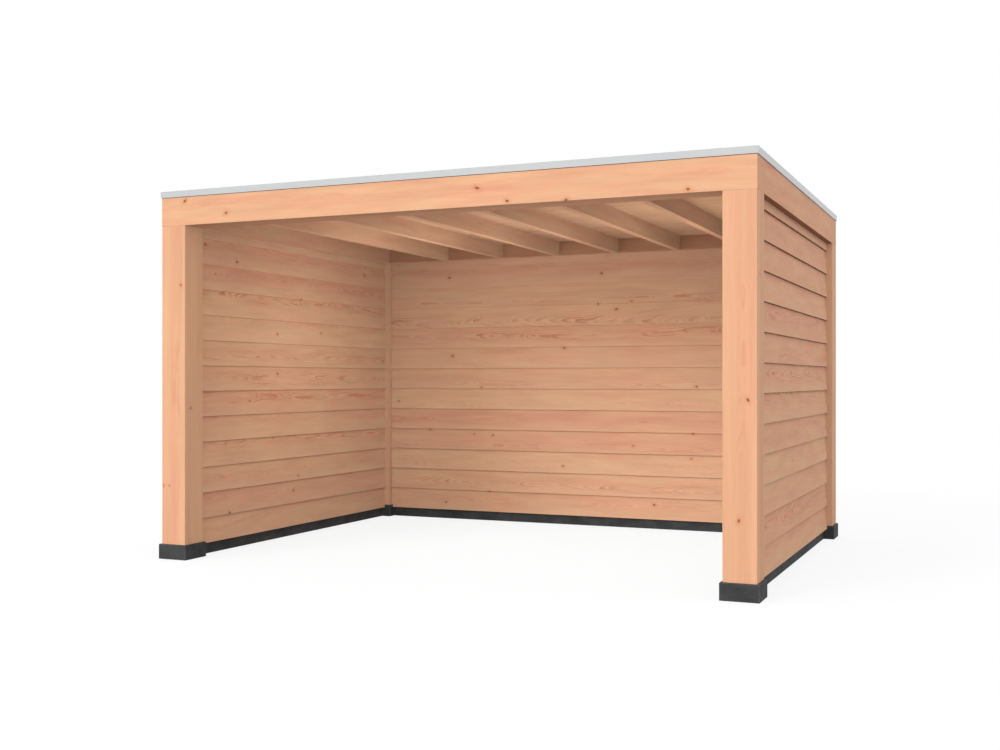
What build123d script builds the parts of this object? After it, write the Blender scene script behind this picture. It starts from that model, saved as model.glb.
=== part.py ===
from build123d import *
import os
from math import ceil, cos, radians, sin

os.makedirs("parts", exist_ok=True)

# All sizes are in millimetres. +X is right, +Y is towards the back wall, +Z is up.
# The origin lies on the ground under the middle of the canopy. The open side faces -Y.

# Overall size over the posts
canopy_width = 4000
canopy_depth = 3000

# Corner posts and the blocks under them
post_size = 190
post_height = 2136
foot_overhang = 15
foot_height = 100
foot_chamfer = 4
arris_radius = 3

# Ring beam on the posts
beam_width = 190
beam_height = 190

# Roof joists, deck and membrane, sunk inside the ring beam
joist_count = 6
joist_width = 50
joist_depth = 115
# From each side beam's inner face to the middle of the first joist
joist_left_bay = 555.5
joist_right_bay = 499.5
joist_arris = 2
deck_thickness = 18
membrane_thickness = 1.5

# Folded roof edge trim
trim_overhang = 6.5
trim_height = 41.5
trim_wall = 2.5
trim_flange = 60
trim_crown = 26
trim_lip = 9

# Walls: a stud frame on a plinth, with lapped boards outside and inside
frame_thickness = 64
plinth_height = 90
rail_height = 44
stud_width = 44
stud_spacing = 600
board_pitch = 175
board_start = 78
board_lip = 27
board_tip = 12
board_least_strip = 20
notch_gap = 1

# Levels and half sizes that follow from the sizes above
half_width = canopy_width / 2
half_depth = canopy_depth / 2
beam_underside = foot_height + post_height
beam_top = beam_underside + beam_height
deck_underside = beam_underside + joist_depth
deck_top = deck_underside + deck_thickness
room_half_width = half_width - beam_width
room_half_depth = half_depth - beam_width
joist_pitch = (2 * room_half_width - joist_left_bay - joist_right_bay) / (joist_count - 1)
wall_centre = post_size / 2
rail_top = plinth_height + rail_height

# Each side of the canopy: turn about Z from the front, distance of its outer face, half of its run
sides = {
    "front": (0, half_depth, half_width),
    "right": (90, half_width, half_depth),
    "back": (180, half_depth, half_width),
    "left": (270, half_width, half_depth),
}
walled_sides = ("left", "back", "right")


def outward(turn):
    return Vector(sin(radians(turn)), -cos(radians(turn)), 0)


def along(turn):
    return Vector(cos(radians(turn)), sin(radians(turn)), 0)


def section_plane(turn, distance):
    """Upright plane across a side: local X runs inward from the outer face, local Y is up."""
    return Plane(origin=outward(turn) * distance, x_dir=-outward(turn), z_dir=along(turn))


def plan_plane(turn, distance, height):
    """Level plane of a side: local X runs along it, local Y inward from the outer face."""
    origin = outward(turn) * distance + Vector(0, 0, height)
    return Plane(origin=origin, x_dir=along(turn), z_dir=(0, 0, 1))


def mitre_outline(half_run, outer, inner):
    """Plan outline between the two 45 degree corner cuts, from depth outer to depth inner."""
    return [
        (outer - half_run, outer),
        (half_run - outer, outer),
        (half_run - inner, inner),
        (inner - half_run, inner),
    ]


def lapped_outline(back, direction):
    """Section of one wall skin. Each board is thick at its lower lip and thin at its top edge."""
    cover = beam_underside - board_start
    boards = max(1, ceil((cover - board_least_strip) / board_pitch))
    points = [(back, board_start)]
    for board in range(boards):
        lap = board_start + board * board_pitch
        top = beam_underside if board == boards - 1 else lap + board_pitch
        taper = (board_lip - board_tip) * (top - lap) / board_pitch
        points.append((back + direction * board_lip, lap))
        points.append((back + direction * (board_lip - taper), top))
    points.append((back, beam_underside))
    return points


def save(piece, name):
    piece.label = name
    export_step(piece, f"parts/{name}.step")


# Foot blocks and posts at the four corners
for row, depth_sign in (("front", -1), ("back", 1)):
    for side, width_sign in (("left", -1), ("right", 1)):
        corner_x = width_sign * (half_width - post_size / 2)
        corner_y = depth_sign * (half_depth - post_size / 2)
        foot_size = post_size + 2 * foot_overhang

        with BuildPart() as foot:
            with BuildSketch(Plane.XY):
                with Locations((corner_x, corner_y)):
                    Rectangle(foot_size, foot_size)
            extrude(amount=foot_height)
            chamfer(foot.faces().sort_by(Axis.Z)[-1].edges(), foot_chamfer)
        save(foot.part, f"foot_{row}_{side}")

        with BuildPart() as post:
            with BuildSketch(Plane.XY.offset(foot_height)):
                with Locations((corner_x, corner_y)):
                    Rectangle(post_size, post_size)
            extrude(amount=post_height)
            fillet(post.edges().filter_by(Axis.Z), arris_radius)
        save(post.part, f"post_{row}_{side}")

# Ring beam, mitred at the corners
for side, (turn, distance, half_run) in sides.items():
    with BuildPart() as beam:
        with BuildSketch(section_plane(turn, distance)):
            with Locations((beam_width / 2, beam_underside + beam_height / 2)):
                RectangleRounded(beam_width, beam_height, arris_radius)
        extrude(amount=half_run, both=True)
        with BuildSketch(plan_plane(turn, distance, beam_underside)):
            with BuildLine():
                Polyline(*mitre_outline(half_run, 0, beam_width), close=True)
            make_face()
        extrude(amount=beam_height, mode=Mode.INTERSECT)
    save(beam.part, f"beam_{side}")

# Joists from the front beam to the back beam, their undersides level with the beams
for number in range(joist_count):
    joist_x = joist_left_bay - room_half_width + number * joist_pitch
    with BuildPart() as joist:
        with BuildSketch(Plane.XY.offset(beam_underside)):
            with Locations((joist_x, 0)):
                Rectangle(joist_width, 2 * room_half_depth)
        extrude(amount=joist_depth)
        fillet(joist.faces().sort_by(Axis.Z)[0].edges().filter_by(Axis.Y), joist_arris)
    save(joist.part, f"joist_{number + 1}")

# Deck on the joists, inside the ring beam
with BuildPart() as roof_deck:
    with BuildSketch(Plane.XY.offset(deck_underside)):
        Rectangle(2 * room_half_width, 2 * room_half_depth)
    extrude(amount=deck_thickness)
save(roof_deck.part, "roof_deck")

# Membrane: a tray on the deck, up the inner faces of the beams and over their tops
with BuildPart() as roof_membrane:
    with BuildSketch(Plane.XY.offset(deck_top)):
        Rectangle(2 * room_half_width, 2 * room_half_depth)
    extrude(amount=beam_top - deck_top)
    with BuildSketch(Plane.XY.offset(beam_top)):
        Rectangle(canopy_width, canopy_depth)
    extrude(amount=membrane_thickness)
    with BuildSketch(Plane.XY.offset(deck_top + membrane_thickness)):
        Rectangle(
            2 * (room_half_width - membrane_thickness),
            2 * (room_half_depth - membrane_thickness),
        )
    extrude(amount=beam_top - deck_top, mode=Mode.SUBTRACT)
save(roof_membrane.part, "roof_membrane")

# Roof edge trim: a base flange on the membrane, an upright face, a crown and a turned-down lip
trim_foot = beam_top + membrane_thickness
trim_top = trim_foot + trim_height
trim_outline = [
    (trim_flange, trim_foot),
    (-trim_overhang, trim_foot),
    (-trim_overhang, trim_top),
    (trim_crown - trim_overhang, trim_top),
    (trim_crown - trim_overhang, trim_top - trim_lip),
    (trim_crown - trim_overhang - trim_wall, trim_top - trim_lip),
    (trim_crown - trim_overhang - trim_wall, trim_top - trim_wall),
    (trim_wall - trim_overhang, trim_top - trim_wall),
    (trim_wall - trim_overhang, trim_foot + trim_wall),
    (trim_flange, trim_foot + trim_wall),
]
for side, (turn, distance, half_run) in sides.items():
    with BuildPart() as trim:
        with BuildSketch(section_plane(turn, distance)):
            with BuildLine():
                Polyline(*trim_outline, close=True)
            make_face()
        extrude(amount=half_run + trim_overhang, both=True)
        with BuildSketch(plan_plane(turn, distance, trim_foot)):
            with BuildLine():
                Polyline(*mitre_outline(half_run, -trim_overhang, trim_flange), close=True)
            make_face()
        extrude(amount=trim_height, mode=Mode.INTERSECT)
    save(trim.part, f"roof_trim_{side}")

# Walls on the left, back and right, each between two posts
for side in walled_sides:
    turn, distance, half_run = sides[side]
    half_span = half_run - post_size
    half_base = half_span - foot_overhang

    with BuildPart() as plinth:
        with BuildSketch(plan_plane(turn, distance, 0)):
            with Locations((0, wall_centre)):
                Rectangle(2 * half_base, frame_thickness)
        extrude(amount=plinth_height)
    save(plinth.part, f"{side}_wall_plinth")

    with BuildPart() as rails:
        with BuildSketch(plan_plane(turn, distance, plinth_height)):
            with Locations((0, wall_centre)):
                Rectangle(2 * half_base, frame_thickness)
        extrude(amount=rail_height)
        with BuildSketch(plan_plane(turn, distance, beam_underside - rail_height)):
            with Locations((0, wall_centre)):
                Rectangle(2 * half_span, frame_thickness)
        extrude(amount=rail_height)
    save(rails.part, f"{side}_wall_rails")

    bays = ceil(2 * half_span / stud_spacing)
    stud_pitch = (2 * half_span - stud_width) / bays
    with BuildPart() as studs:
        with BuildSketch(plan_plane(turn, distance, rail_top)):
            with Locations(Location((0, wall_centre))):
                with GridLocations(stud_pitch, 0, bays + 1, 1):
                    Rectangle(stud_width, frame_thickness)
        extrude(amount=beam_underside - rail_height - rail_top)
    save(studs.part, f"{side}_wall_studs")

    for skin, direction in (("outer", -1), ("inner", 1)):
        back = wall_centre + direction * frame_thickness / 2
        with BuildPart() as boards:
            with BuildSketch(section_plane(turn, distance)):
                with BuildLine():
                    Polyline(*lapped_outline(back, direction), close=True)
                make_face()
            extrude(amount=half_span, both=True)
            # Notches at both ends, round the foot blocks
            with BuildSketch(plan_plane(turn, distance, 0)):
                with Locations((-half_span, wall_centre), (half_span, wall_centre)):
                    Rectangle(2 * (foot_overhang + notch_gap), post_size)
            extrude(amount=foot_height + notch_gap, mode=Mode.SUBTRACT)
        save(boards.part, f"{side}_wall_{skin}_boards")
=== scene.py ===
from math import atan2, ceil, cos, radians, sin

import bpy
from mathutils import Matrix, Vector, noise


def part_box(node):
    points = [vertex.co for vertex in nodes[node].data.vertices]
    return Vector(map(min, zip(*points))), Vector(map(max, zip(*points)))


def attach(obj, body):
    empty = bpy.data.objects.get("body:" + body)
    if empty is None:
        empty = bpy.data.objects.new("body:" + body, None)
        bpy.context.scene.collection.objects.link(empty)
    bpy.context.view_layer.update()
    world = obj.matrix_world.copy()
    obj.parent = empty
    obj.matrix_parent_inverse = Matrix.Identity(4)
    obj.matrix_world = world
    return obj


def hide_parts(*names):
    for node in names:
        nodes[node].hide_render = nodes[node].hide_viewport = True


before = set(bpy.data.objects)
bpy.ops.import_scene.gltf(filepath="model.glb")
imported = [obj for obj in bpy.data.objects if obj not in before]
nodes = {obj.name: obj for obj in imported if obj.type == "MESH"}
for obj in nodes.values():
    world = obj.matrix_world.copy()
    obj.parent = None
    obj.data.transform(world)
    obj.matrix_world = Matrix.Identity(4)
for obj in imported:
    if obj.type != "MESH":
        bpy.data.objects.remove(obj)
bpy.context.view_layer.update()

# Lengths are in metres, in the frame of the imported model: +X to the right along the open front,
# +Y to the back wall, +Z up. Colours are linear red, green and blue.

# Posts and beams
post_size = 0.190
arris = 0.003
foot_gap = 0.001

# Wall boards: cover, thickness at the lip and at the top edge, lap, and how far they bow and fall short
board_cover = 0.175
board_lip = 0.027
board_tip = 0.012
board_lap = 0.022
lap_clearance = 0.0015
board_arris = 0.0016
board_steps = 22
board_bow = 0.0016
board_end_play = 0.0008
rubbed_lip = 0.006

# Roof boards and the rubber sheet on them
roof_board_cover = 0.131
roof_board_joint = 0.0006
roof_board_vee = 0.0035
sheet_thickness = 0.0015
sheet_grid = 0.055

# Random seeds of the board rows. Each wall adds its own number.
outside_seed = 11
inside_seed = 31
roof_seed = 71

# Wood colours
straw = (0.895, 0.524, 0.300)
salmon = (0.845, 0.374, 0.240)
latewood = (0.640, 0.195, 0.105)
knot_brown = (0.590, 0.215, 0.088)
knot_core = (0.370, 0.100, 0.034)
worn_wood = (0.920, 0.590, 0.370)
# Painted shade for the laps and for the beams' undersides and inner faces
painted_shade_tint = (0.330, 0.155, 0.080)
# Painted light for the strip under each board's lip
painted_light_tint = (1.070, 1.045, 1.020)
bounced_wood = (0.560, 0.540, 0.520)

# Colours of the cast stone, the metal trim, the roof sheet and the studio floor
stone_dark = (0.053, 0.053, 0.054)
stone_pale = (0.083, 0.083, 0.084)
stone_rubbed = (0.150, 0.150, 0.150)
stone_hole = (0.018, 0.018, 0.018)
metal_dull = (0.600, 0.610, 0.618)
metal_bright = (0.670, 0.676, 0.680)
metal_rubbed = (0.780, 0.785, 0.790)
rubber_black = (0.024, 0.024, 0.026)
rubber_dusty = (0.050, 0.049, 0.047)
rubber_settled = (0.085, 0.080, 0.072)
rubber_rim = (0.120, 0.115, 0.105)
floor_bounce = (0.360, 0.360, 0.360)
floor_seen = (0.200, 0.200, 0.200)
white = (1.0, 1.0, 1.0)


def as_colour(rgb):
    return (*rgb, 1.0)


# Wiring of node trees

class Wiring:
    """Adds nodes to one tree and joins their sockets."""

    def __init__(self, tree):
        self.tree = tree

    def node(self, kind, feeds=None, **settings):
        made = self.tree.nodes.new(kind)
        for name, value in settings.items():
            setattr(made, name, value)
        for key, value in (feeds or {}).items():
            self.feed(self.socket(made, key), value)
        return made

    def socket(self, made, key):
        """An input by its place, its identifier or its name."""
        if isinstance(key, int):
            return made.inputs[key]
        for candidate in made.inputs:
            if candidate.identifier == key:
                return candidate
        return made.inputs[key]

    def feed(self, socket, value):
        if isinstance(value, bpy.types.NodeSocket):
            self.tree.links.new(value, socket)
        else:
            socket.default_value = value

    def maths(self, operation, *values, clamp=False):
        made = self.node("ShaderNodeMath", dict(enumerate(values)), operation=operation, use_clamp=clamp)
        return made.outputs[0]

    def vector_maths(self, operation, *values):
        made = self.node("ShaderNodeVectorMath", dict(enumerate(values)), operation=operation)
        return made.outputs["Value" if operation in ("LENGTH", "DOT_PRODUCT") else "Vector"]

    def scaled(self, vector, factors):
        return self.vector_maths("MULTIPLY", vector, factors)

    def split(self, vector):
        made = self.node("ShaderNodeSeparateXYZ", {0: vector})
        return made.outputs[0], made.outputs[1], made.outputs[2]

    def joined(self, x=0.0, y=0.0, z=0.0):
        return self.node("ShaderNodeCombineXYZ", {0: x, 1: y, 2: z}).outputs[0]

    def noise(self, vector, detail=2.0, roughness=0.5):
        """Soft noise about one unit across. Gives its value, from about 0.2 to 0.8, and its colour."""
        feeds = {"Vector": vector, "Scale": 1.0, "Detail": detail, "Roughness": roughness}
        made = self.node("ShaderNodeTexNoise", feeds)
        return made.outputs[0], made.outputs[1]

    def random(self, seed):
        """A random value from 0 to 1 for each seed."""
        return self.node("ShaderNodeTexWhiteNoise", {"W": seed}, noise_dimensions="1D").outputs[0]

    def between(self, value, low, high, start=0.0, end=1.0):
        """A smooth step from start, where value is low, to end, where it is high."""
        feeds = {"Value": value, "From Min": low, "From Max": high, "To Min": start, "To Max": end}
        return self.node("ShaderNodeMapRange", feeds, interpolation_type="SMOOTHSTEP").outputs[0]

    def spread(self, value, amount, centre=1.0):
        """A value of about 0 to 1 as a swing of that amount about the centre."""
        return self.maths("MULTIPLY_ADD", self.maths("SUBTRACT", value, 0.5), amount, centre)

    def blend(self, factor, first, second, blend_type="MIX"):
        feeds = {"Factor_Float": factor, "A_Color": first, "B_Color": second}
        made = self.node("ShaderNodeMix", feeds, data_type="RGBA", blend_type=blend_type)
        return made.outputs[2]

    def lit(self, tint, light):
        """A colour made lighter or darker by a factor."""
        return self.blend(1.0, tint, self.joined(light, light, light), "MULTIPLY")

    def group(self, tree, feeds):
        made = self.tree.nodes.new("ShaderNodeGroup")
        made.node_tree = tree
        for name, value in feeds.items():
            self.feed(made.inputs[name], value)
        return made.outputs


socket_kinds = {
    "value": "NodeSocketFloat",
    "vector": "NodeSocketVector",
    "colour": "NodeSocketColor",
    "count": "NodeSocketInt",
    "shape": "NodeSocketGeometry",
    "material": "NodeSocketMaterial",
}


def new_group(name, kind, takes, gives):
    """A node group with named sockets. Gives its wiring, its inputs and its output node."""
    tree = bpy.data.node_groups.new(name, kind)
    for label, sort in takes.items():
        tree.interface.new_socket(label, in_out="INPUT", socket_type=socket_kinds[sort])
    for label, sort in gives.items():
        tree.interface.new_socket(label, in_out="OUTPUT", socket_type=socket_kinds[sort])
    wiring = Wiring(tree)
    return wiring, wiring.node("NodeGroupInput").outputs, wiring.node("NodeGroupOutput").inputs


# Effects that several finishes share

def build_grain():
    """Growth rings of a sawn softwood piece. Place runs along the grain, across and through the piece."""
    takes = {
        "Place": "vector", "Log": "vector", "Tone": "value", "Ring Width": "value", "Figure": "value",
        "Taper": "value", "Streaks": "vector", "Edge": "value", "Shelter": "value", "Painted Light": "value",
        "Knot": "value", "Knot Bend": "value",
    }
    gives = {"Color": "colour", "Roughness": "value", "Height": "value"}
    w, given, made = new_group("softwood grain", "ShaderNodeTree", takes, gives)
    along, across, through = w.split(given["Place"])
    seed, pith_across, pith_through = w.split(given["Log"])
    seed_shift = w.joined(seed, w.maths("MULTIPLY", seed, 3.7), w.maths("MULTIPLY", seed, 7.1))

    def layer(factors, detail=2.0, roughness=0.5):
        place = w.vector_maths("ADD", w.scaled(given["Place"], factors), seed_shift)
        return w.noise(place, detail, roughness)

    # Distance from the pith, which wanders along the piece
    wander = w.split(layer((0.55, 0.0, 0.0), 1.0)[1])
    roll = layer((2.3, 7.0, 7.0), 1.5)[0]
    wiggle = layer((15.0, 42.0, 42.0), 2.0)[0]
    pith_across = w.maths("ADD", pith_across, w.spread(wander[0], 0.09, 0.0))
    pith_through = w.maths("ADD", pith_through, w.spread(wander[1], 0.06, 0.0))
    from_pith_across = w.maths("SUBTRACT", across, pith_across)
    from_pith_through = w.maths("SUBTRACT", through, pith_through)
    reach = w.vector_maths("LENGTH", w.joined(from_pith_across, from_pith_through))
    heart = w.between(w.maths("ADD", reach, w.spread(roll, 0.05, 0.0)), 0.090, 0.035)
    lean = w.maths("MULTIPLY", w.spread(w.random(seed), 2.0, 0.0), given["Taper"])
    reach = w.maths("MULTIPLY_ADD", along, lean, reach)
    reach = w.maths("ADD", reach, w.spread(roll, 0.040, 0.0))
    reach = w.maths("ADD", reach, w.spread(wiggle, 0.0070, 0.0))
    reach = w.maths("MULTIPLY_ADD", given["Knot Bend"], 0.006, reach)

    # Rings: pale early wood that darkens to a sharp line of latewood
    uneven = w.noise(w.joined(w.maths("MULTIPLY", reach, 55.0), seed), 1.0)[0]
    rings = w.maths("ADD", w.maths("DIVIDE", reach, given["Ring Width"]), w.maths("MULTIPLY", uneven, 1.6))
    in_ring = w.maths("FRACT", rings)
    ring_number = w.joined(w.maths("FLOOR", rings), seed)
    feeds = {"Vector": ring_number}
    ring_dark = w.node("ShaderNodeTexWhiteNoise", feeds, noise_dimensions="2D").outputs[0]
    late = w.maths("MULTIPLY", w.between(in_ring, 0.25, 0.88), w.between(in_ring, 0.93, 1.0, 1.0, 0.0))
    late = w.maths("MULTIPLY", late, w.maths("MULTIPLY_ADD", ring_dark, 0.75, 0.25))
    beside_pith = w.maths("ABSOLUTE", from_pith_across)
    late = w.maths("MULTIPLY", late, w.between(beside_pith, 0.075, 0.025, 0.40, 1.0))

    patch = layer((1.6, 9.0, 9.0), 2.0)[0]
    broken = layer((2.4, 30.0, 30.0), 2.0)[0]
    late = w.maths("MULTIPLY", late, w.between(patch, 0.34, 0.60, 0.25, 1.0))
    late = w.maths("MULTIPLY", late, w.between(broken, 0.38, 0.58, 0.25, 1.25))

    # Colour: streaks of redder and darker wood, then the rings, painted shade, a painted light strip, worn
    # edges and knots
    streak_warmth, streak_light, _ = w.split(layer(given["Streaks"], 2.5, 0.55)[1])
    fine_warmth, fine_light, _ = w.split(layer((5.0, 70.0, 70.0), 2.0, 0.6)[1])
    fibre = layer((7.0, 430.0, 430.0), 2.0, 0.6)[0]
    warmth = w.maths("MULTIPLY_ADD", given["Tone"], 0.50, 0.06)
    warmth = w.maths("ADD", warmth, w.spread(streak_warmth, 1.6, 0.0))
    warmth = w.maths("ADD", warmth, w.spread(fine_warmth, 0.45, 0.0))
    warmth = w.maths("MULTIPLY_ADD", heart, 0.22, warmth, clamp=True)
    tint = w.blend(warmth, as_colour(straw), as_colour(salmon))
    tint = w.blend(w.maths("MULTIPLY", late, given["Figure"]), tint, as_colour(latewood))
    light = w.maths("ADD", w.spread(fibre, 0.12), w.spread(patch, 0.12, 0.0))
    light = w.maths("ADD", light, w.spread(streak_light, 0.24, 0.0))
    light = w.maths("ADD", light, w.spread(fine_light, 0.08, 0.0))
    tint = w.lit(tint, light)
    # Painted shade: laps and beam undersides are darkened where shade falls
    tint = w.blend(given["Shelter"], tint, as_colour(painted_shade_tint), "MULTIPLY")
    # Painted light: the strip under the next board's lip is made paler to offset its shadow
    tint = w.blend(given["Painted Light"], tint, as_colour(painted_light_tint), "MULTIPLY")
    tint = w.blend(w.maths("MULTIPLY", given["Edge"], 0.35), tint, as_colour(worn_wood))
    tint = w.blend(w.maths("MULTIPLY", given["Knot Bend"], 0.26), tint, as_colour(latewood))
    tint = w.blend(w.between(given["Knot"], 0.0, 0.6), tint, as_colour(knot_brown))
    tint = w.blend(w.between(given["Knot"], 0.6, 1.0, 0.0, 0.9), tint, as_colour(knot_core))
    w.feed(made["Color"], tint)

    # Roughness and relief: knots and latewood are smoother, and knots stand in
    rough = w.maths("MULTIPLY_ADD", late, -0.10, w.spread(fibre, 0.16, 0.64))
    rough = w.maths("MULTIPLY_ADD", given["Edge"], 0.06, rough)
    w.feed(made["Roughness"], w.maths("MULTIPLY_ADD", given["Knot"], -0.12, rough))
    relief = w.maths("MULTIPLY_ADD", late, 0.45, w.maths("MULTIPLY", fibre, 0.5))
    w.feed(made["Height"], w.maths("MULTIPLY_ADD", given["Knot"], -0.5, relief))
    return w.tree


def build_pin_knots():
    """Small dark knots scattered over a sawn face. Share is the part of the cells that hold one."""
    takes = {"Place": "vector", "Seed": "value", "Share": "value", "Size": "value"}
    gives = {"Knot": "value", "Bend": "value"}
    w, given, made = new_group("pin knots", "ShaderNodeTree", takes, gives)
    cells = (2.4, 9.0, 9.0)
    along, across, through = w.split(given["Place"])
    round_the_piece = w.maths("ADD", across, through)
    shift_along = w.maths("MULTIPLY", given["Seed"], 17.3)
    shift_across = w.maths("MULTIPLY", given["Seed"], 5.9)
    face = w.joined(
        w.maths("MULTIPLY_ADD", along, cells[0], shift_along),
        w.maths("MULTIPLY_ADD", round_the_piece, cells[1], shift_across),
    )
    cell = w.node("ShaderNodeTexVoronoi", {"Vector": face, "Scale": 1.0}, voronoi_dimensions="2D").outputs
    chance, length, tilt = w.split(cell["Color"])
    off = w.vector_maths("SUBTRACT", face, cell["Position"])
    off_along, off_across, _ = w.split(w.vector_maths("DIVIDE", off, cells))
    off_along = w.maths("MULTIPLY_ADD", off_across, w.spread(tilt, 2.4, 0.0), off_along)
    long_half = w.maths("MULTIPLY", given["Size"], w.maths("MULTIPLY_ADD", length, 1.1, 0.8))
    short_half = w.maths("MULTIPLY", given["Size"], 0.62)
    reach = w.vector_maths(
        "LENGTH",
        w.joined(w.maths("DIVIDE", off_along, long_half), w.maths("DIVIDE", off_across, short_half)),
    )
    held = w.maths("LESS_THAN", chance, given["Share"])
    w.feed(made["Knot"], w.maths("MULTIPLY", held, w.between(reach, 1.25, 0.55)))
    w.feed(made["Bend"], w.maths("MULTIPLY", held, w.between(reach, 4.0, 0.6)))
    return w.tree


def build_edges():
    """Marks where two faces of a block meet, from the place in the block and its half sizes."""
    takes = {"Place": "vector", "Half Size": "vector", "Width": "value"}
    w, given, made = new_group("worn edges", "ShaderNodeTree", takes, {"Edge": "value"})
    short_of = w.vector_maths("SUBTRACT", given["Half Size"], w.vector_maths("ABSOLUTE", given["Place"]))
    a, b, c = w.split(short_of)
    nearer = w.maths("MINIMUM", a, b)
    further = w.maths("MAXIMUM", a, b)
    second = w.maths("MAXIMUM", nearer, w.maths("MINIMUM", further, c))
    rub = w.noise(w.scaled(given["Place"], (40.0, 40.0, 40.0)), 3.0)[0]
    second = w.maths("ADD", second, w.maths("MULTIPLY", w.spread(rub, 1.2, 0.0), given["Width"]))
    w.feed(made["Edge"], w.between(w.maths("DIVIDE", second, given["Width"]), 1.0, 0.1))
    return w.tree


grain = build_grain()
pin_knots = build_pin_knots()
worn_edges = build_edges()


# Materials

def new_material(name):
    made = bpy.data.materials.new(name)
    made.use_nodes = True
    made.node_tree.nodes.clear()
    wiring = Wiring(made.node_tree)
    shader = wiring.node("ShaderNodeBsdfPrincipled")
    output = wiring.node("ShaderNodeOutputMaterial")
    made.node_tree.links.new(shader.outputs[0], output.inputs["Surface"])
    return made, wiring, shader


def add_bump(w, shader, height, depth):
    bump = w.node("ShaderNodeBump", {"Height": height, "Distance": depth})
    w.feed(shader.inputs["Normal"], bump.outputs[0])


grain_axes = {"x": (0, 1, 2), "y": (1, 0, 2), "z": (2, 0, 1)}

# How much bare timber and cast stone shine
dry_gloss = 0.15

# Half the length of a small knot, before each is made longer or shorter
pin_knot_size = 0.006

# Streaks of colour in the timber: how many for each metre along the grain, across it and through the piece
board_streaks = (2.2, 15.0, 15.0)
post_streaks = (0.40, 12.0, 12.0)
beam_streaks = (1.8, 17.0, 17.0)


def grain_order(vector, axis):
    """A size or place in X, Y, Z as along the grain, across it and through the piece."""
    return tuple(vector[number] for number in grain_axes[axis])


def block_place(w, node, axis):
    """Place in a CAD node from its middle, with the grain along one axis, and its half sizes."""
    low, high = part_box(node)
    place = w.node("ShaderNodeTexCoord").outputs["Object"]
    centred = w.node("ShaderNodeMapping", {"Vector": place, "Location": -(low + high) / 2}).outputs[0]
    parts = w.split(centred)
    return w.joined(*grain_order(parts, axis)), grain_order((high - low) / 2, axis)


def knots_at(w, spots):
    """Knots at chosen places in the canopy. A spot is a place, half sizes in X, Y and Z, and a tilt."""
    place = w.node("ShaderNodeTexCoord").outputs["Object"]
    ragged = w.noise(w.scaled(place, (90.0, 90.0, 90.0)), 2.0)[0]
    nearest = 99.0
    for spot, half_size, tilt in spots:
        feeds = {"Vector": place, "Location": spot, "Rotation": tilt, "Scale": half_size}
        inside = w.node("ShaderNodeMapping", feeds, vector_type="TEXTURE").outputs[0]
        nearest = w.maths("MINIMUM", w.vector_maths("LENGTH", inside), nearest)
    nearest = w.maths("ADD", nearest, w.spread(ragged, 0.9, 0.0))
    return w.between(nearest, 1.3, 0.4), w.between(nearest, 4.0, 0.6)


def all_knots(w, place, seed, share, spots):
    """Knots and the bend of the grain round them: small ones by rule, larger ones at chosen places."""
    pins = w.group(pin_knots, {"Place": place, "Seed": seed, "Share": share, "Size": pin_knot_size})
    if not spots:
        return pins["Knot"], pins["Bend"]
    knot, bend = knots_at(w, spots)
    return w.maths("MAXIMUM", pins["Knot"], knot), w.maths("MAXIMUM", pins["Bend"], bend)


def finish_timber(w, shader, feeds, relief=0.0009):
    """Wood finish. Light that the timber throws back is greyed, so the closed room doesn't turn orange."""
    grown = w.group(grain, feeds)
    bounced = w.node("ShaderNodeLightPath").outputs["Is Diffuse Ray"]
    w.feed(shader.inputs["Base Color"], w.blend(bounced, grown["Color"], as_colour(bounced_wood)))
    w.feed(shader.inputs["Roughness"], grown["Roughness"])
    shader.inputs["Specular IOR Level"].default_value = dry_gloss
    add_bump(w, shader, grown["Height"], relief)


def block_timber(
    name, node, axis, log, tone, ring_width=0.0055, figure=0.4, share=0.12, streaks=beam_streaks, spots=(),
    painted_shade=None,
):
    """Planed or sawn timber for one CAD node. Painted shade gives the share of shade painted on each part
    of it.
    """
    made, w, shader = new_material(name)
    place, half_size = block_place(w, node, axis)
    edge = w.group(worn_edges, {"Place": place, "Half Size": half_size, "Width": 0.004})["Edge"]
    knot, bend = all_knots(w, place, log[0], share, spots)
    feeds = {
        "Place": place, "Log": log, "Tone": tone, "Ring Width": ring_width, "Figure": figure,
        "Taper": 0.02, "Streaks": streaks, "Edge": edge, "Knot": knot, "Knot Bend": bend,
    }
    # Painted shade on the parts of a beam where shade falls; worn edges are kept out of it
    if painted_shade:
        feeds["Shelter"] = painted_shade(w, place, half_size)
        feeds["Edge"] = w.maths("MULTIPLY", edge, w.maths("SUBTRACT", 1.0, feeds["Shelter"], clamp=True))
    finish_timber(w, shader, feeds)
    return made


def painted_beam_shade(outer_half, inner_half, inner_face, outer_side):
    """Painted shade on both halves of a beam's underside and on its inner face. Outer side is 1 or -1
    across it.
    """
    def shade(w, place, half_size):
        _, across, through = w.split(place)
        outward = w.maths("MULTIPLY", across, float(outer_side))
        underside = w.between(w.maths("ADD", through, half_size[2]), arris, 0.0)
        underside = w.maths("MULTIPLY", underside, w.between(outward, -0.02, 0.02, inner_half, outer_half))
        inwards = w.between(w.maths("ADD", outward, half_size[1]), 0.001, 0.0, 0.0, inner_face)
        return w.maths("MAXIMUM", underside, inwards)
    return shade


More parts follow.
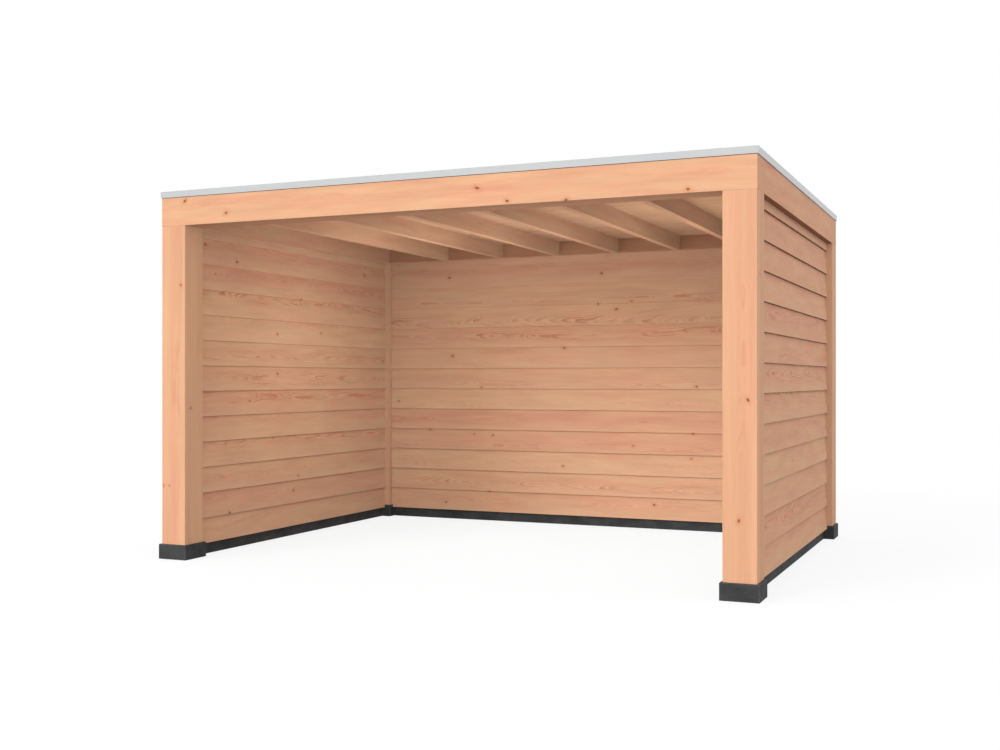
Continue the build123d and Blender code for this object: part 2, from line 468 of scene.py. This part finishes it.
def board_timber(name, cover, ring_width, figure, tones, share, painted_shade=0.0, painted_light=0.0, spots=()):
    """Sawn boards that carry their own place, log and tone as attributes.

    Tones is their lowest and highest tone. Painted shade darkens the lap of two boards, and painted light
    keeps the strip just under the next board's lip pale.
    """
    made, w, shader = new_material(name)

    def carried(attribute, output):
        return w.node("ShaderNodeAttribute", attribute_name=attribute).outputs[output]

    place = carried("place", "Vector")
    log = carried("log", "Vector")
    seed = w.split(log)[0]
    figured = w.maths("MULTIPLY", w.between(w.random(seed), 0.20, 0.65, 0.25, 1.0), figure)
    tone = w.between(carried("tone", "Fac"), 0.0, 1.0, *tones)
    height = w.split(place)[1]
    lap = w.maths("MAXIMUM", w.between(height, 0.0014, 0.0), w.between(height, cover - 0.004, cover))
    uneven = w.between(w.noise(w.scaled(place, (9.0, 0.0, 0.0)), 2.0)[0], 0.30, 0.60, 0.5, 1.0)
    # Painted shade in the lap between two boards
    shade = w.maths("MULTIPLY", w.maths("MULTIPLY", lap, uneven), painted_shade)
    # Painted light on the strip just under the next board's lip
    painted_light_strip = w.between(height, cover - 0.016, cover - 0.002, 0.0, painted_light)
    knot, bend = all_knots(w, place, seed, share, spots)
    feeds = {
        "Place": place, "Log": log, "Tone": tone, "Ring Width": ring_width, "Figure": figured,
        "Taper": 0.075, "Streaks": board_streaks, "Edge": carried("lip", "Fac"), "Knot": knot,
        "Knot Bend": bend, "Shelter": shade, "Painted Light": painted_light_strip,
    }
    finish_timber(w, shader, feeds)
    return made


def cast_stone(name, node):
    """Dark grey cast blocks with fine grit, small air holes and lighter rubbed edges."""
    made, w, shader = new_material(name)
    place, half_size = block_place(w, node, "x")
    object_place = w.node("ShaderNodeTexCoord").outputs["Object"]
    edge = w.group(worn_edges, {"Place": place, "Half Size": half_size, "Width": 0.006})["Edge"]
    cloud = w.noise(w.scaled(object_place, (6.0, 6.0, 9.0)), 4.0, 0.6)[0]
    grit = w.noise(w.scaled(object_place, (420.0, 420.0, 420.0)), 2.0, 0.7)[0]
    hole_place = w.scaled(object_place, (95.0, 95.0, 95.0))
    hole = w.node("ShaderNodeTexVoronoi", {"Vector": hole_place, "Scale": 1.0}).outputs
    hole_size = w.maths("MULTIPLY", w.maths("POWER", w.split(hole["Color"])[0], 5.0), 0.26)
    hollow = w.maths("LESS_THAN", hole["Distance"], hole_size)
    tint = w.blend(w.between(cloud, 0.3, 0.7), as_colour(stone_dark), as_colour(stone_pale))
    tint = w.lit(tint, w.between(grit, 0.3, 0.8, 0.78, 1.3))
    tint = w.blend(w.maths("MULTIPLY", edge, 0.5), tint, as_colour(stone_rubbed))
    tint = w.blend(w.maths("MULTIPLY", hollow, 0.6), tint, as_colour(stone_hole))
    w.feed(shader.inputs["Base Color"], tint)
    w.feed(shader.inputs["Roughness"], w.spread(grit, 0.2, 0.78))
    shader.inputs["Specular IOR Level"].default_value = dry_gloss
    height = w.maths("MULTIPLY_ADD", hollow, -1.0, w.maths("MULTIPLY", grit, 0.35))
    add_bump(w, shader, height, depth=0.0012)
    return made


def satin_metal(name, node, axis):
    """Rolled aluminium with fine lines along its length and a soft bloom."""
    made, w, shader = new_material(name)
    place, half_size = block_place(w, node, axis)
    edge = w.group(worn_edges, {"Place": place, "Half Size": half_size, "Width": 0.002})["Edge"]
    lines = w.noise(w.scaled(place, (3.0, 900.0, 900.0)), 2.0, 0.6)[0]
    bloom = w.noise(w.scaled(place, (1.7, 9.0, 9.0)), 3.0, 0.6)[0]
    tint = w.blend(bloom, as_colour(metal_dull), as_colour(metal_bright))
    tint = w.lit(tint, w.between(lines, 0.25, 0.75, 0.95, 1.04))
    tint = w.blend(w.maths("MULTIPLY", edge, 0.5), tint, as_colour(metal_rubbed))
    w.feed(shader.inputs["Base Color"], tint)
    shader.inputs["Metallic"].default_value = 0.6
    w.feed(shader.inputs["Roughness"], w.maths("MULTIPLY_ADD", bloom, 0.16, w.spread(lines, 0.10, 0.36)))
    add_bump(w, shader, lines, depth=0.00012)
    return made


def rubber_sheet(name):
    """Matt roofing rubber with a fine grain, dust in the hollows and faint marks of dried rain."""
    made, w, shader = new_material(name)
    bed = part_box("roof_membrane")[0].z
    place = w.node("ShaderNodeTexCoord").outputs["Object"]
    height = w.split(place)[2]
    fine = w.noise(w.scaled(place, (500.0, 500.0, 500.0)), 2.0, 0.6)[0]
    dust = w.noise(w.scaled(place, (1.6, 1.6, 1.6)), 5.0, 0.62)[0]
    marks = w.noise(w.scaled(place, (1.15, 1.15, 0.0)), 4.0, 0.45)[0]
    rim = w.maths("MULTIPLY", w.between(marks, 0.55, 0.60), w.between(marks, 0.60, 0.615, 1.0, 0.0))
    on_the_flat = w.between(height, bed + 0.009, bed + 0.020, 1.0, 0.0)
    settled = w.maths("MULTIPLY", w.between(marks, 0.56, 0.68, 0.0, 0.24), on_the_flat)
    tint = w.blend(w.between(dust, 0.38, 0.72), as_colour(rubber_black), as_colour(rubber_dusty))
    tint = w.blend(settled, tint, as_colour(rubber_settled))
    rim = w.maths("MULTIPLY", w.maths("MULTIPLY", rim, 0.14), on_the_flat)
    tint = w.blend(rim, tint, as_colour(rubber_rim))
    tint = w.lit(tint, w.between(fine, 0.3, 0.7, 0.85, 1.15))
    w.feed(shader.inputs["Base Color"], tint)
    w.feed(shader.inputs["Roughness"], w.maths("MULTIPLY_ADD", dust, 0.3, 0.48))
    add_bump(w, shader, fine, depth=0.0003)
    return made


# Rows of boards, by geometry nodes

def build_board_row():
    """Repeats one board upwards. Each board gets its own log, tone, length and slight bow."""
    takes = {
        "Board": "shape", "Boards": "count", "Cover": "value", "Start": "value", "End Play": "value",
        "Bow": "value", "Seed": "count", "Log Low": "vector", "Log High": "vector",
        "Lip": "value", "Lip Width": "value",
    }
    w, given, made = new_group("board row", "GeometryNodeTree", takes, {"Row": "shape"})
    w.tree.is_modifier = True
    rise = w.joined(0.0, 0.0, given["Cover"])
    start = w.joined(0.0, 0.0, given["Start"])
    feeds = {"Count": given["Boards"], "Start Location": start, "Offset": rise}
    line = w.node("GeometryNodeMeshLine", feeds)

    def drawn(kind, low, high, step):
        """A random value of one sort for each board."""
        names = {"FLOAT": ("Min_001", "Max_001"), "FLOAT_VECTOR": ("Min", "Max")}[kind]
        seed = w.maths("ADD", given["Seed"], float(step))
        feeds = {names[0]: low, names[1]: high, "Seed": seed}
        node = w.node("FunctionNodeRandomValue", feeds, data_type=kind)
        return node.outputs[1 if kind == "FLOAT" else 0]

    def store(shape, name, kind, domain, value):
        feeds = {"Geometry": shape, "Name": name, "Value": value}
        return w.node("GeometryNodeStoreNamedAttribute", feeds, data_type=kind, domain=domain).outputs[0]

    def stored(name, kind):
        return w.node("GeometryNodeInputNamedAttribute", {"Name": name}, data_type=kind).outputs[0]

    shortening = w.maths("SUBTRACT", 1.0, drawn("FLOAT", 0.0, given["End Play"], 1))
    scale = w.joined(shortening, 1.0, 1.0)
    feeds = {"Points": line.outputs[0], "Instance": given["Board"], "Scale": scale}
    row = w.node("GeometryNodeInstanceOnPoints", feeds).outputs[0]
    number = w.node("GeometryNodeInputIndex").outputs[0]
    foot_line = w.maths("MULTIPLY_ADD", number, given["Cover"], given["Start"])
    row = store(row, "foot line", "FLOAT", "INSTANCE", foot_line)
    row = store(row, "tone", "FLOAT", "INSTANCE", drawn("FLOAT", 0.0, 1.0, 2))
    log = drawn("FLOAT_VECTOR", given["Log Low"], given["Log High"], 3)
    row = store(row, "log", "FLOAT_VECTOR", "INSTANCE", log)
    row = w.node("GeometryNodeRealizeInstances", {"Geometry": row}).outputs[0]
    for name, kind in (("foot line", "FLOAT"), ("tone", "FLOAT"), ("log", "FLOAT_VECTOR")):
        row = store(row, name, kind, "FACE", stored(name, kind))

    # Place in the board, kept before the board is bowed
    x, y, z = w.split(w.node("GeometryNodeInputPosition").outputs[0])
    height = w.maths("SUBTRACT", z, stored("foot line", "FLOAT"))
    row = store(row, "place", "FLOAT_VECTOR", "CORNER", w.joined(x, height, y))
    below = w.maths("SUBTRACT", given["Lip"], y)
    near_lip = w.maths("MAXIMUM", w.maths("ABSOLUTE", height), w.maths("ABSOLUTE", below))
    lip_mark = w.between(w.maths("DIVIDE", near_lip, given["Lip Width"]), 1.0, 0.0)
    row = store(row, "lip", "FLOAT", "CORNER", lip_mark)

    # A slight bow, different in each board
    board_shift = w.maths("MULTIPLY", stored("foot line", "FLOAT"), 9.0)
    bend_place = w.joined(w.maths("MULTIPLY", x, 0.9), board_shift)
    bend = w.split(w.noise(w.vector_maths("ADD", bend_place, stored("log", "FLOAT_VECTOR")), 1.0)[1])
    shift = w.joined(
        0.0,
        w.maths("MULTIPLY", w.maths("SUBTRACT", bend[0], 0.5), given["Bow"]),
        w.maths("MULTIPLY", w.maths("SUBTRACT", bend[1], 0.5), given["Bow"]),
    )
    row = w.node("GeometryNodeSetPosition", {"Geometry": row, "Offset": shift}).outputs[0]
    w.feed(made["Row"], row)
    return w.tree


def build_cut_to_fit():
    """Cuts a board row off under the beam and notches both ends round the foot blocks."""
    takes = {
        "Row": "shape", "Top": "value", "Half Length": "value", "Notch Width": "value",
        "Notch Top": "value", "Material": "material",
    }
    w, given, made = new_group("cut to fit", "GeometryNodeTree", takes, {"Row": "shape"})
    w.tree.is_modifier = True
    tall = 0.4
    deep = 0.3

    def block(width, height, x, z):
        """A cutting block that goes right through the wall."""
        cube = w.node("GeometryNodeMeshCube", {"Size": w.joined(width, deep, height)}).outputs[0]
        feeds = {"Geometry": cube, "Translation": w.joined(x, 0.0, z)}
        return w.node("GeometryNodeTransform", feeds).outputs[0]

    above = w.maths("ADD", given["Top"], tall / 2)
    cutters = [block(w.maths("MULTIPLY", given["Half Length"], 2.4), tall, 0.0, above)]
    width = w.maths("MULTIPLY", given["Notch Width"], 2.0)
    height = w.maths("MULTIPLY", given["Notch Top"], 2.0)
    for end in (-1.0, 1.0):
        cutters.append(block(width, height, w.maths("MULTIPLY", given["Half Length"], end), 0.0))
    feeds = {"Mesh 1": given["Row"]}
    cut = w.node("GeometryNodeMeshBoolean", feeds, operation="DIFFERENCE", solver="EXACT")
    for cutter in cutters:
        w.feed(cut.inputs["Mesh 2"], cutter)
    feeds = {"Geometry": cut.outputs[0], "Material": given["Material"]}
    w.feed(made["Row"], w.node("GeometryNodeSetMaterial", feeds).outputs[0])
    return w.tree


def build_set_finish():
    """Gives a board row that needs no cutting its timber."""
    takes = {"Row": "shape", "Material": "material"}
    w, given, made = new_group("board finish", "GeometryNodeTree", takes, {"Row": "shape"})
    w.tree.is_modifier = True
    feeds = {"Geometry": given["Row"], "Material": given["Material"]}
    w.feed(made["Row"], w.node("GeometryNodeSetMaterial", feeds).outputs[0])
    return w.tree


board_row = build_board_row()
cut_to_fit = build_cut_to_fit()
board_finish = build_set_finish()


def add_tree(piece, tree, values):
    """Puts a geometry tree on a piece, with its inputs set by name."""
    modifier = piece.modifiers.new(tree.name, "NODES")
    modifier.node_group = tree
    for item in tree.interface.items_tree:
        if item.in_out == "INPUT" and item.name in values:
            modifier[item.identifier] = values[item.name]


def as_plain_mesh(piece, name, place):
    """The evaluated piece as a new object with a plain mesh, put in its place in the canopy's frame."""
    bpy.context.view_layer.update()
    depsgraph = bpy.context.evaluated_depsgraph_get()
    seen = piece.evaluated_get(depsgraph)
    mesh = bpy.data.meshes.new_from_object(seen, preserve_all_data_layers=True, depsgraph=depsgraph)
    bpy.data.objects.remove(piece)
    mesh.transform(place)
    mesh.name = name
    made = bpy.data.objects.new(name, mesh)
    bpy.context.scene.collection.objects.link(made)
    return made


def swept_board(section, length, steps):
    """A straight board: its section, given as depth and height, run along X and closed at both ends."""
    points = []
    faces = []
    count = len(section)
    for step in range(steps + 1):
        x = length * (step / steps - 0.5)
        points += [(x, depth, height) for depth, height in section]
    for step in range(steps):
        for number in range(count):
            after = (number + 1) % count
            faces.append((
                step * count + number, step * count + after,
                (step + 1) * count + after, (step + 1) * count + number,
            ))
    faces.append(tuple(reversed(range(count))))
    faces.append(tuple(range(steps * count, (steps + 1) * count)))
    mesh = bpy.data.meshes.new("board")
    mesh.from_pydata(points, [], faces)
    mesh.update()
    made = bpy.data.objects.new("board", mesh)
    bpy.context.scene.collection.objects.link(made)
    return made


def rounded(corner, before, after, radius):
    """Points of a small round between two edges of a section."""
    corner, before, after = Vector(corner), Vector(before), Vector(after)
    start = corner + (before - corner).normalized() * radius
    end = corner + (after - corner).normalized() * radius
    middle = (start + end) / 2 * 0.42 + corner * 0.58
    return [tuple(start), tuple(middle), tuple(end)]


def lapped_section():
    """Wedge board: a thick lip rebated at the back, a sloping face and a thin edge behind the next lip."""
    rebate = board_tip + lap_clearance
    top = board_cover + board_lap - 2 * lap_clearance
    rebate_top = (rebate, board_lap)
    lip_back = (rebate, 0.0)
    lip_front = (board_lip, 0.0)
    face_top = (board_tip, board_cover)
    return [
        (0.0, board_lap),
        rebate_top,
        *rounded(lip_back, rebate_top, lip_front, board_arris / 2),
        *rounded(lip_front, lip_back, face_top, board_arris),
        face_top,
        (board_tip - 0.0005, top),
        (0.0, top),
    ]


def roof_section():
    """Roof board with a small vee along both lower edges. Depth 0 is the top of the roof boards."""
    low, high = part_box("roof_deck")
    thick = high.z - low.z
    left, right = roof_board_joint / 2, roof_board_cover - roof_board_joint / 2
    return [
        (0.0, left),
        (thick - roof_board_vee, left),
        (thick, left + roof_board_vee),
        (thick, right - roof_board_vee),
        (thick - roof_board_vee, right),
        (0.0, right),
    ]


def skin_place(node, facing):
    """Where a board row's own frame goes, X along the wall, Y outwards and Z up, and the row's length."""
    low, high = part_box(node)
    size = high - low
    depth = abs(size.dot(facing))
    back = (low + high) / 2 - facing * depth / 2
    turn = Matrix.Rotation(atan2(-facing.x, facing.y), 4, "Z")
    length = size.y if abs(facing.x) > 0.5 else size.x
    return Matrix.Translation((back.x, back.y, 0.0)) @ turn, length


def lapped_wall(node, name, facing, seed, material):
    """One skin of lapped boards, in place of the CAD node that stands for it."""
    place, length = skin_place(node, facing)
    low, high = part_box(node)
    board = swept_board(lapped_section(), length - board_end_play, board_steps)
    add_tree(board, board_row, {
        "Boards": ceil((high.z - low.z) / board_cover), "Cover": board_cover, "Start": low.z,
        "End Play": board_end_play, "Bow": board_bow, "Seed": seed,
        "Log Low": (0.0, 0.02, -0.070), "Log High": (40.0, 0.16, -0.010),
        "Lip": board_lip, "Lip Width": rubbed_lip,
    })
    foot_low, foot_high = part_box("foot_front_left")
    overhang = (foot_high.x - foot_low.x - post_size) / 2
    add_tree(board, cut_to_fit, {
        "Top": high.z, "Half Length": length / 2, "Notch Width": overhang + foot_gap,
        "Notch Top": foot_high.z + foot_gap, "Material": material,
    })
    wall = as_plain_mesh(board, name, place)
    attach(wall, "root")
    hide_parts(node)


def roof_boards(material):
    """Tongued boards across the joists, seen from below, in place of the roof deck node."""
    low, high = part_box("roof_deck")
    board = swept_board(roof_section(), high.x - low.x - 0.001, steps=2)
    add_tree(board, board_row, {
        "Boards": round((high.y - low.y) / roof_board_cover), "Cover": roof_board_cover, "Start": 0.0,
        "End Play": 0.0, "Bow": 0.0, "Seed": roof_seed,
        "Log Low": (0.0, -0.02, -0.12), "Log High": (40.0, 0.2, -0.03),
        "Lip": -1.0, "Lip Width": 0.001,
    })
    add_tree(board, board_finish, {"Material": material})
    turn = Matrix(((1, 0, 0, 0), (0, 0, 1, 0), (0, -1, 0, 0), (0, 0, 0, 1)))
    middle = (low + high) / 2
    made = as_plain_mesh(board, "roof_boards", Matrix.Translation((middle.x, low.y, high.z)) @ turn)
    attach(made, "root")
    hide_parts("roof_deck")


# Roof sheet

# Where the sheet turns down the inner face of the beams: place from that face, and drop
sheet_shoulder = [(-0.012, 0.0), (-0.005, 0.0003), (-0.0022, 0.0014), (-0.0006, 0.0038), (0.0, 0.009)]

# Where it turns out again onto the roof boards: place from the face, and height above the flat
sheet_cove = [
    (0.0004, 0.022), (0.0022, 0.0125), (0.0066, 0.0052), (0.0130, 0.0014), (0.0220, 0.0), (0.060, 0.0),
]

# Grid lines on the tops of the beams, in from the edge
sheet_ledge = (0.0, 0.060, 0.110, 0.150)


def sheet_lines(half, offsets):
    """Grid lines across the roof from edge to edge, close together at the upstands."""
    inner = half - offsets[-1]
    steps = max(2, round(2 * inner / sheet_grid))
    middle = [-inner + 2 * inner * step / steps for step in range(1, steps)]
    edge = [-half + offset for offset in offsets]
    return edge + middle + [-place for place in reversed(edge)]


def sheet_section(ledge, top, foot, thick):
    """Height of one skin of the sheet at each distance in from the edge."""
    corner = ledge + thick
    section = {offset: top for offset in sheet_ledge}
    section.update({corner + place: top - drop for place, drop in sheet_shoulder})
    section.update({corner + place: foot + rise for place, rise in sheet_cove})
    return section


def sheet_swell(x, y, inside):
    """Soft unevenness and faint ridges of the flat, fading out towards the upstands."""
    ease = min(1.0, inside / 0.25)
    swell = noise.noise(Vector((x * 1.1, y * 1.1, 0.3)))
    ridge = abs(noise.noise(Vector((x * 2.3 + 5.0, y * 1.7, 4.0))))
    return ease * (0.0012 * (swell + 1.0) + 0.0030 * max(0.0, 1.0 - ridge * 14.0))


def sheet_skin(half_x, half_y, ledge, section, swells):
    """Points of one skin, row by row, and the number of points in a row and of rows."""
    offsets = list(section)
    lines_x = sheet_lines(half_x, offsets)
    lines_y = sheet_lines(half_y, offsets)

    def level(place, half):
        reach = half - abs(place)
        nearest = min(offsets, key=lambda offset: abs(offset - reach))
        return section[nearest] if reach < offsets[-1] + 1e-6 else section[offsets[-1]]

    points = []
    for y in lines_y:
        for x in lines_x:
            z = max(level(x, half_x), level(y, half_y))
            inside = min(half_x - abs(x), half_y - abs(y)) - ledge - 0.03
            if swells and inside > 0:
                z += sheet_swell(x, y, inside)
            points.append((x, y, z))
    return points, len(lines_x), len(lines_y)


def sheet_faces(wide, deep):
    """Faces of the top skin, of the underside below it and of the four edges between them."""
    faces = []
    under = wide * deep
    for row in range(deep - 1):
        for column in range(wide - 1):
            a = row * wide + column
            b, c, d = a + 1, a + wide + 1, a + wide
            faces.append((a, b, c, d))
            faces.append((d + under, c + under, b + under, a + under))
    for column in range(wide - 1):
        a, b = column, column + 1
        faces.append((a + under, b + under, b, a))
        a, b = a + wide * (deep - 1), b + wide * (deep - 1)
        faces.append((a, b, b + under, a + under))
    for row in range(deep - 1):
        a, b = row * wide, (row + 1) * wide
        faces.append((a, b, b + under, a + under))
        a, b = a + wide - 1, b + wide - 1
        faces.append((a + under, b + under, b, a))
    return faces


def roof_sheet(material):
    """Rubber sheet in one piece: flat on the roof boards, coved up the beams and over their tops."""
    low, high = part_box("roof_membrane")
    beam_low, beam_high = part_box("beam_front")
    ledge = beam_high.y - beam_low.y
    half_x, half_y = (high.x - low.x) / 2, (high.y - low.y) / 2
    thick = sheet_thickness
    top_section = sheet_section(ledge, high.z, low.z + thick, thick)
    under_section = sheet_section(ledge, high.z - thick, low.z, 0.0)
    points, wide, deep = sheet_skin(half_x, half_y, ledge, top_section, True)
    points += sheet_skin(half_x, half_y, ledge, under_section, False)[0]
    mesh = bpy.data.meshes.new("roof_sheet")
    mesh.from_pydata(points, [], sheet_faces(wide, deep))
    mesh.update()
    mesh.materials.append(material)
    mesh.shade_smooth()
    made = bpy.data.objects.new("roof_sheet", mesh)
    bpy.context.scene.collection.objects.link(made)
    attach(made, "root")
    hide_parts("roof_membrane")


# Knots that catch the eye, each with its place in the canopy

def knots_on(square_to, level, places, wide=0.0125, tall=0.0085, tilt=22):
    """Knots on an upright face: the axis square to it, its place on that axis, and places along it."""
    through = 0.03
    made = []
    for number, (run, height) in enumerate(places):
        lean = radians(tilt if number % 2 == 0 else -tilt / 2)
        if square_to == "y":
            made.append(((run, level, height), (wide, through, tall), (0.0, -lean, 0.0)))
        else:
            made.append(((level, run, height), (through, wide, tall), (lean, 0.0, 0.0)))
    return made


left_inner_face, back_inner_face = -1.846, 1.350
small_knot = (0.0095, 0.0065)
inside_knots = {
    "left": knots_on("x", left_inner_face, [
        (-1.22, 2.14), (-0.87, 2.05), (0.95, 2.10), (-0.35, 1.25), (-0.14, 0.35), (-0.96, 0.26),
    ]) + knots_on("x", left_inner_face, [
        (-0.04, 1.83), (-0.36, 1.55), (0.26, 1.58), (-0.71, 1.05), (-0.99, 0.75), (-0.08, 0.46),
    ], *small_knot),
    "back": knots_on("y", back_inner_face, [
        (-1.24, 2.09), (0.15, 2.08), (-1.21, 1.41), (-0.18, 1.47), (0.275, 1.783), (0.596, 0.195),
    ]) + knots_on("y", back_inner_face, [
        (-0.93, 1.14), (0.946, 1.15), (-1.43, 0.77), (-0.83, 0.73), (-0.86, 0.25), (0.42, 0.666),
        (0.12, 1.828), (0.411, 1.845), (-1.735, 1.017), (0.916, 0.773), (0.900, 0.574), (-0.187, 0.486),
        (-1.272, 0.142),
    ], *small_knot),
}
front_face, right_face, left_post_inner_face = -1.5, 2.0, -1.81
front_beam_knots = knots_on("y", front_face, [
    (-1.810, 2.398), (0.336, 2.346),
], wide=0.017, tall=0.009, tilt=40) + knots_on("y", front_face, [
    (-1.477, 2.300), (0.531, 2.257), (0.901, 2.241), (1.619, 2.258),
])
post_knots = {
    "post_front_left": knots_on("y", front_face, [(-1.843, 1.838)], 0.007, 0.010)
    + knots_on("x", left_post_inner_face, [(-1.437, 1.015)], 0.006, 0.009),
    "post_front_right": knots_on("y", front_face, [(1.950, 1.095), (1.901, 0.438)], 0.008, 0.012, 25)
    + knots_on("x", right_face, [(-1.425, 1.781)], 0.005, 0.010),
}

# Wall and roof boards: width of the growth rings, strength of the figure, tones, and share of pin knots

outwards = {"left": Vector((-1, 0, 0)), "back": Vector((0, 1, 0)), "right": Vector((1, 0, 0))}
for number, (side, outward) in enumerate(outwards.items()):
    # Outside boards get painted shade in their laps
    outside_timber = board_timber(
        f"{side} wall outside timber", board_cover, ring_width=0.0068, figure=0.80, tones=(0.50, 1.20),
        share=0.08, painted_shade=1.0,
    )
    # Inside boards get a painted light strip under each lip
    inside_timber = board_timber(
        f"{side} wall inside timber", board_cover, ring_width=0.0068, figure=0.92, tones=(0.40, 1.15),
        share=0.02, painted_light=1.0, spots=inside_knots.get(side, ()),
    )
    lapped_wall(
        f"{side}_wall_outer_boards", f"{side}_wall_outside_boards", outward, outside_seed + number,
        outside_timber,
    )
    lapped_wall(
        f"{side}_wall_inner_boards", f"{side}_wall_inside_boards", -outward, inside_seed + number,
        inside_timber,
    )
roof_boards(board_timber(
    "roof board timber", roof_board_cover, ring_width=0.005, figure=0.35, tones=(0.0, 0.6), share=0.08,
))


def dress(node, material):
    slots = nodes[node].data.materials
    slots.clear()
    slots.append(material)


# Posts, beams, joists and studs. A log is its seed and the place of its pith across and through the piece.

def log_of(number, first, step):
    """Log of one of several like timbers: the first timber's, and the step from each to the next."""
    return tuple(start + more * number for start, more in zip(first, step))


corners = [(row, side) for row in ("front", "back") for side in ("left", "right")]
for number, (row, side) in enumerate(corners):
    post = f"post_{row}_{side}"
    log = log_of(number, (3.1, 0.018, -0.020), (5.3, -0.011, 0.013))
    dress(post, block_timber(
        f"{post} timber", post, "z", log, tone=0.62, ring_width=0.0085, figure=0.20, share=0.04,
        streaks=post_streaks, spots=post_knots.get(post, ()),
    ))
    foot = f"foot_{row}_{side}"
    dress(foot, cast_stone(f"{foot} stone", foot))

beam_axes = {"front": "x", "right": "y", "back": "x", "left": "y"}
beam_tones = {"front": 0.45, "right": 0.80, "back": 0.80, "left": 0.80}
# Painted shade on the beams' undersides and inner faces
painted_beam_shades = {
    "front": painted_beam_shade(outer_half=0.38, inner_half=0.30, inner_face=0.0, outer_side=-1),
    "right": painted_beam_shade(outer_half=0.90, inner_half=0.0, inner_face=0.0, outer_side=1),
    "back": painted_beam_shade(outer_half=0.90, inner_half=0.0, inner_face=0.50, outer_side=1),
    "left": painted_beam_shade(outer_half=0.90, inner_half=0.0, inner_face=0.15, outer_side=-1),
}
for number, (side, axis) in enumerate(beam_axes.items()):
    beam = f"beam_{side}"
    log = log_of(number, (27.7, -0.030, 0.025), (4.9, 0.017, -0.012))
    dress(beam, block_timber(
        f"{beam} timber", beam, axis, log, tone=beam_tones[side], ring_width=0.0052, figure=0.30,
        share=0.03, spots=front_beam_knots if side == "front" else (), painted_shade=painted_beam_shades[side],
    ))

for number in range(1, 7):
    joist = f"joist_{number}"
    log = log_of(number, (51.3, 0.030, 0.050), (3.3, -0.012, 0.0))
    dress(joist, block_timber(f"{joist} timber", joist, "y", log, tone=0.35 + 0.04 * number, figure=0.25))

for number, side in enumerate(outwards):
    axis = "x" if side == "back" else "y"
    log = log_of(number, (80.0, 0.020, 0.050), (1.0, 0.0, 0.0))
    rails, studs, plinth = f"{side}_wall_rails", f"{side}_wall_studs", f"{side}_wall_plinth"
    dress(rails, block_timber(f"{side} rail timber", rails, axis, log, tone=0.3))
    dress(studs, block_timber(f"{side} stud timber", studs, "z", log, tone=0.3))
    dress(plinth, cast_stone(f"{side} plinth stone", plinth))

for side, axis in beam_axes.items():
    trim = f"roof_trim_{side}"
    dress(trim, satin_metal(f"{trim} metal", trim, axis))
roof_sheet(rubber_sheet("roof sheet rubber"))


# Floor, light and camera

def seen_directly(w):
    """1 for what the camera sees, also in a mirror or through glass, and 0 for light on the canopy."""
    path = w.node("ShaderNodeLightPath").outputs
    mirrored = w.maths("ADD", path["Is Glossy Ray"], path["Is Transmission Ray"])
    return w.maths("ADD", path["Is Camera Ray"], mirrored, clamp=True)


def floor():
    half = 60.0
    mesh = bpy.data.meshes.new("floor")
    edge = [(-half, -half), (half, -half), (half, half), (-half, half)]
    mesh.from_pydata([(x, y, -0.0005) for x, y in edge], [], [(0, 1, 2, 3)])
    made = bpy.data.objects.new("studio_floor", mesh)
    bpy.context.scene.collection.objects.link(made)
    material = bpy.data.materials.new("studio floor")
    material.use_nodes = True
    material.node_tree.nodes.clear()
    w = Wiring(material.node_tree)
    seen = seen_directly(w)
    shade = w.blend(seen, as_colour(floor_bounce), as_colour(floor_seen))
    diffuse = w.node("ShaderNodeBsdfDiffuse", {"Color": shade}).outputs[0]
    feeds = {"Color": as_colour(white), "Strength": w.maths("MULTIPLY", seen, 0.83)}
    glow = w.node("ShaderNodeEmission", feeds).outputs[0]
    both = w.node("ShaderNodeAddShader", {0: diffuse, 1: glow}).outputs[0]
    w.node("ShaderNodeOutputMaterial", {"Surface": both})
    mesh.materials.append(material)


def sun_lamp(name, strength, spread, turn, height):
    """A soft distant lamp. Turn is to the right of the open front, height above the ground, in degrees."""
    lamp = bpy.data.lights.new(name, "SUN")
    lamp.energy = strength
    lamp.angle = radians(spread)
    made = bpy.data.objects.new(name, lamp)
    bpy.context.scene.collection.objects.link(made)
    turn, height = radians(turn), radians(height)
    towards_lamp = Vector((sin(turn) * cos(height), -cos(turn) * cos(height), sin(height)))
    made.rotation_euler = towards_lamp.to_track_quat("Z", "Y").to_euler()
    made.visible_glossy = False


def room_lamp(place, power, size):
    """A soft unseen lamp under the roof, so that the walls inside keep their colour."""
    lamp = bpy.data.lights.new("room lamp", "POINT")
    lamp.energy = power
    lamp.shadow_soft_size = size
    made = bpy.data.objects.new("room lamp", lamp)
    bpy.context.scene.collection.objects.link(made)
    made.location = place
    made.visible_camera = False
    made.visible_glossy = False


sky_light = 0.76
room_lamps = [((-0.75, -0.12, 1.60), 14.5), ((0.05, -0.10, 1.72), 6.5), ((1.15, -0.25, 1.50), 13.0)]


def studio_light():
    """White surroundings that give less light than they show, two distant lamps and the room lamps."""
    world = bpy.data.worlds.new("studio")
    bpy.context.scene.world = world
    world.use_nodes = True
    world.node_tree.nodes.clear()
    w = Wiring(world.node_tree)
    strength = w.maths("MULTIPLY_ADD", seen_directly(w), 1.0 - sky_light, sky_light)
    sky = w.node("ShaderNodeBackground", {"Color": as_colour(white), "Strength": strength})
    w.node("ShaderNodeOutputWorld", {"Surface": sky.outputs[0]})
    sun_lamp("key lamp", strength=1.31, spread=30, turn=-28, height=20)
    sun_lamp("fill lamp", strength=0.70, spread=60, turn=22, height=5)
    for place, power in room_lamps:
        room_lamp(place, power, size=0.6)


def camera():
    lens = bpy.data.cameras.new("camera")
    lens.sensor_width = 36.0
    lens.lens = 42.79
    lens.shift_y = 0.005
    made = bpy.data.objects.new("camera", lens)
    bpy.context.scene.collection.objects.link(made)
    made.location = (3.2953, -7.9307, 1.203)
    made.rotation_euler = (radians(90), 0.0, radians(23.6))
    bpy.context.scene.camera = made


floor()
studio_light()
camera()
bpy.context.scene.view_settings.view_transform = "Standard"
